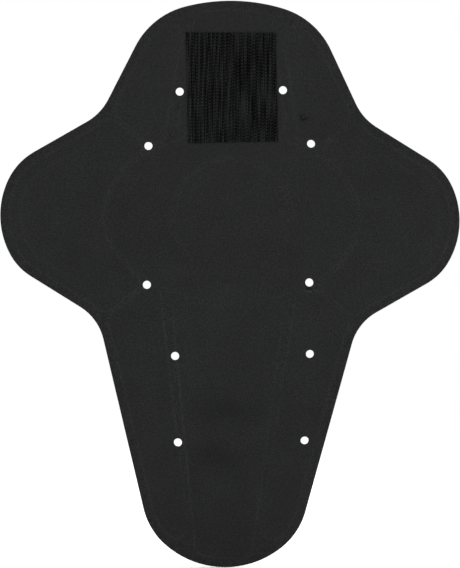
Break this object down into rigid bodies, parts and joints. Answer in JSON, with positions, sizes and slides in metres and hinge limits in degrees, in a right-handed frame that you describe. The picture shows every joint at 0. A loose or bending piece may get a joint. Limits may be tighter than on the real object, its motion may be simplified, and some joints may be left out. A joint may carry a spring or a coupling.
{
  "type": "back protector",
  "caption": "Layered foam back protector insert for a motorcycle jacket, with wings, segmented impact blocks and a hook tape patch.",
  "frame": {"origin": "the middle of the outline, on the face of the comfort sheet that lies on the wearer's back", "axes": "+Z along the spine towards the neck, +X to the right seen from the wearer's side, +Y through the layers away from the wearer"},
  "size_m": [0.3852, 0.0178, 0.475],
  "materials": {
    "comfort_foam": "matte",
    "impact_foam_lower": "matte",
    "impact_foam_upper": "matte",
    "tape_adhesive": "satin",
    "tape_cloth": "matte",
    "hook_nylon": "satin"
  },
  "bodies": {
    "centre": {"comfort_sheet_centre": "comfort_foam", "tape_film": "tape_adhesive", "tape_weave": "tape_cloth", "tape_hooks": "hook_nylon", "ring_lower": "impact_foam_lower", "disc_lower": "impact_foam_lower", "nape_lower": "impact_foam_lower", "head_left_lower": "impact_foam_lower", "head_right_lower": "impact_foam_lower", "wing_left_horns_lower": "impact_foam_lower", "wing_right_horns_lower": "impact_foam_lower", "lumbar_tops_lower": "impact_foam_lower", "ring_upper": "impact_foam_upper", "disc_upper": "impact_foam_upper", "nape_upper": "impact_foam_upper", "head_left_upper": "impact_foam_upper", "head_right_upper": "impact_foam_upper", "wing_left_horns_upper": "impact_foam_upper", "wing_right_horns_upper": "impact_foam_upper", "lumbar_tops_upper": "impact_foam_upper"},
    "wing_left": {"comfort_sheet_wing_left": "comfort_foam", "wing_left_lower": "impact_foam_lower", "wing_left_upper": "impact_foam_upper"},
    "wing_right": {"comfort_sheet_wing_right": "comfort_foam", "wing_right_lower": "impact_foam_lower", "wing_right_upper": "impact_foam_upper"},
    "lumbar": {"comfort_sheet_lumbar": "comfort_foam", "lumbar_spine_lower": "impact_foam_lower", "lumbar_left_lower": "impact_foam_lower", "lumbar_right_lower": "impact_foam_lower", "lumbar_spine_upper": "impact_foam_upper", "lumbar_left_upper": "impact_foam_upper", "lumbar_right_upper": "impact_foam_upper"}
  },
  "joints": [
    {"name": "wing_left_flex", "type": "hinge", "parent": "centre", "child": "wing_left", "pos_m": [-0.1047, 0, 0.056], "axis": [0, 0, 1], "range_deg": [0, 25], "stiffness_Nm_per_rad": 0.5},
    {"name": "wing_right_flex", "type": "hinge", "parent": "centre", "child": "wing_right", "pos_m": [0.1081, 0, 0.056], "axis": [0, 0, -1], "range_deg": [0, 25], "stiffness_Nm_per_rad": 0.5},
    {"name": "lumbar_flex", "type": "hinge", "parent": "centre", "child": "lumbar", "pos_m": [0, 0, -0.032], "axis": [-1, 0, 0], "range_deg": [0, 20], "stiffness_Nm_per_rad": 0.8, "springref_deg": -1.72}
  ]
}
